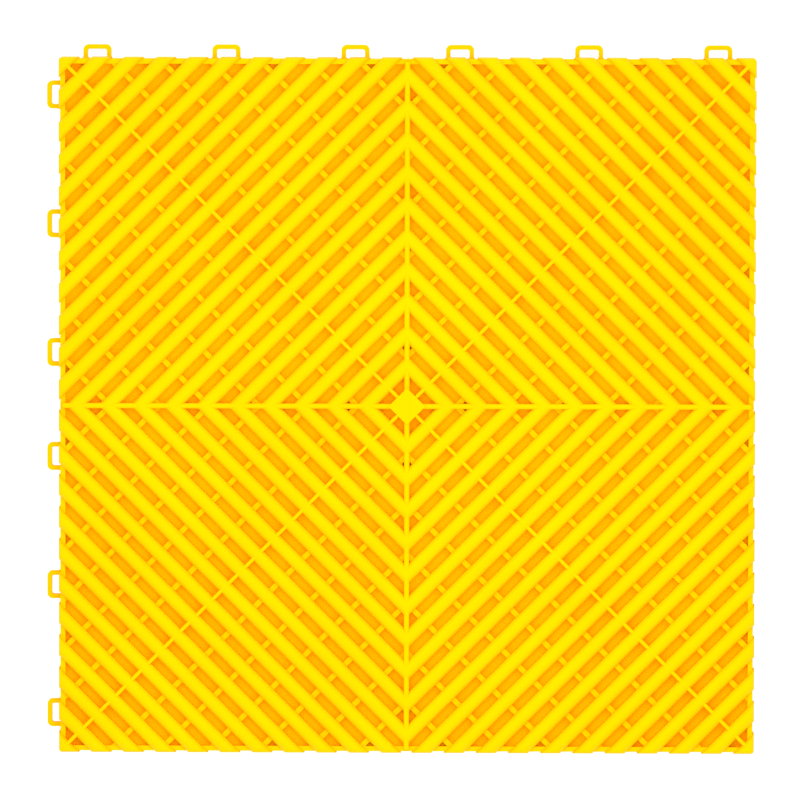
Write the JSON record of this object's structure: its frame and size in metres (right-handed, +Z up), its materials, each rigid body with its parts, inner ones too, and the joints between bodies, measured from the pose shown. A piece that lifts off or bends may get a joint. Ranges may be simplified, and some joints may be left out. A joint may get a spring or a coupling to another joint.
{
  "type": "polypropylene floor tile",
  "caption": "Square interlocking floor tile in yellow plastic, with round-topped ribs in nested diamonds over a sunk floor, loops on two sides and pegs under the others.",
  "frame": {"origin": "centre of the square body, on the floor under it", "axes": "+Z up through the tile; the loops point along -X and +Y; the rib diamonds have their corners on X and Y"},
  "size_m": [0.4071, 0.4071, 0.018],
  "materials": {
    "tile_plastic": "fine moulded satin"
  },
  "bodies": {
    "root": {"tile": "tile_plastic"}
  },
  "joints": []
}
